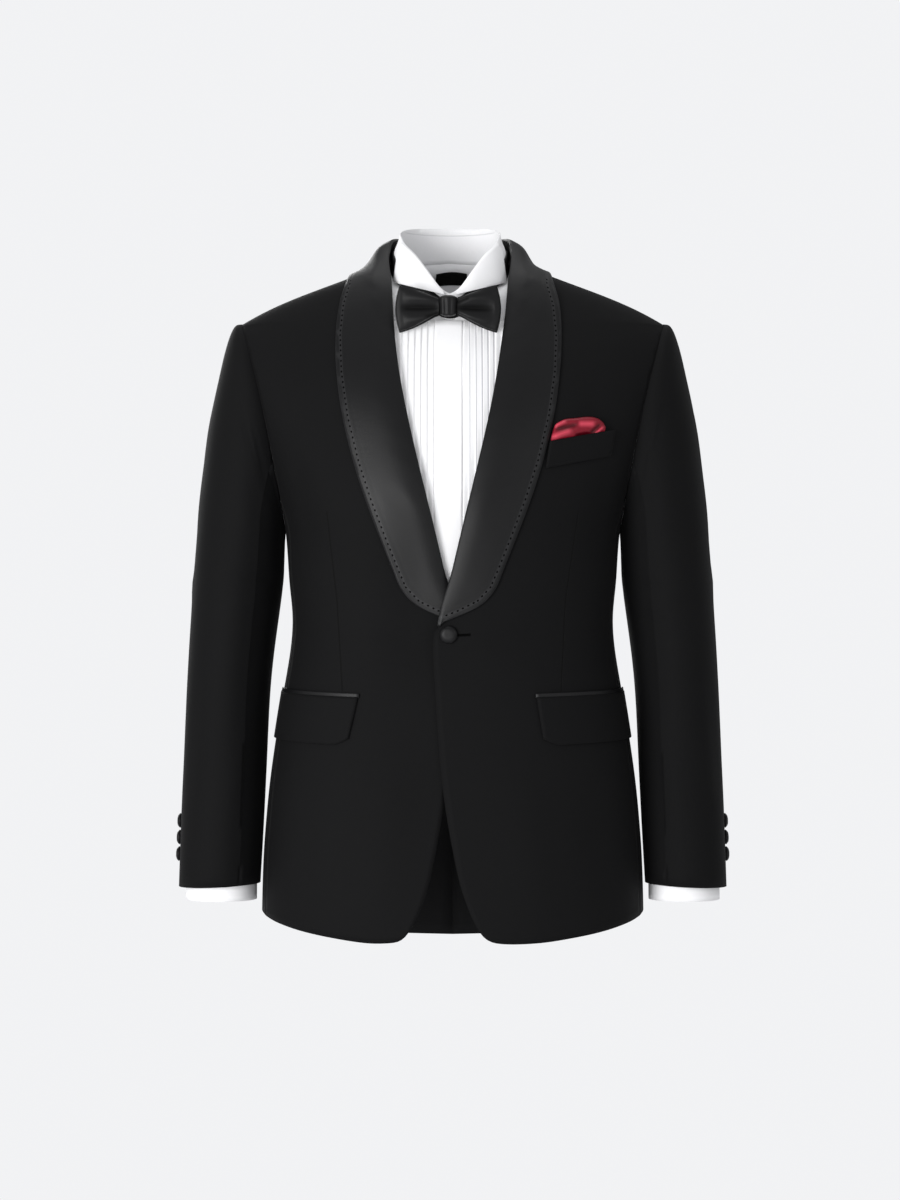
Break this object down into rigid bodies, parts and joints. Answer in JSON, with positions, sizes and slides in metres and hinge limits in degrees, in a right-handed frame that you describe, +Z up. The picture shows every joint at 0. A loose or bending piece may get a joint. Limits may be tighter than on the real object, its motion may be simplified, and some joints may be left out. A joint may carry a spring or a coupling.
{
  "type": "tuxedo",
  "caption": "Dinner jacket with satin shawl collar, worn over a pleated wing-collar dress shirt with a bow tie and a folded pocket square, standing hollow as on an unseen wearer.",
  "frame": {"origin": "on the wearer's upright middle line at the level of the shoulders' inner ends, where a wearer or a form holds the garment", "axes": "+Z up, +Y from the front to the back, +X to the wearer's left; the front faces -Y"},
  "size_m": [0.6058, 0.2796, 0.7956],
  "materials": {
    "wool": "fine black worsted wool, matt",
    "satin": "black satin facing, soft broad sheen",
    "bow_satin": "black satin, duller than the facings",
    "cotton": "white poplin, matt, pleated at the front",
    "silk": "deep red silk satin",
    "ribbon": "bare black woven ribbon"
  },
  "bodies": {
    "root": {"jacket_front_left": "wool", "jacket_front_right": "wool", "jacket_side_left": "wool", "jacket_side_right": "wool", "jacket_back_left": "wool", "jacket_back_right": "wool", "sleeve_top_left": "wool", "sleeve_top_right": "wool", "sleeve_under_left": "wool", "sleeve_under_right": "wool", "pocket_flap_left": "wool", "pocket_flap_right": "wool", "shawl_left": "satin", "shawl_right": "satin", "pocket_jet_left": "satin", "pocket_jet_right": "satin", "chest_welt": "wool", "front_button": "satin", "sleeve_button_left_1": "satin", "sleeve_button_right_1": "satin", "sleeve_button_left_2": "satin", "sleeve_button_right_2": "satin", "sleeve_button_left_3": "satin", "sleeve_button_right_3": "satin", "shirt_front_left": "cotton", "shirt_front_right": "cotton", "shirt_bib_left": "cotton", "shirt_bib_right": "cotton", "shirt_sleeve_left": "cotton", "shirt_sleeve_right": "cotton", "shirt_cuff_left": "cotton", "shirt_cuff_right": "cotton", "collar_wing_left": "cotton", "collar_wing_right": "cotton", "shirt_back": "cotton", "shirt_placket": "cotton", "shirt_collar": "cotton", "bow_wing_left": "bow_satin", "bow_wing_right": "bow_satin", "bow_back_left": "bow_satin", "bow_back_right": "bow_satin", "tie_band": "bow_satin", "bow_knot": "bow_satin", "pocket_square": "silk", "neck_label": "ribbon"}
  },
  "joints": []
}
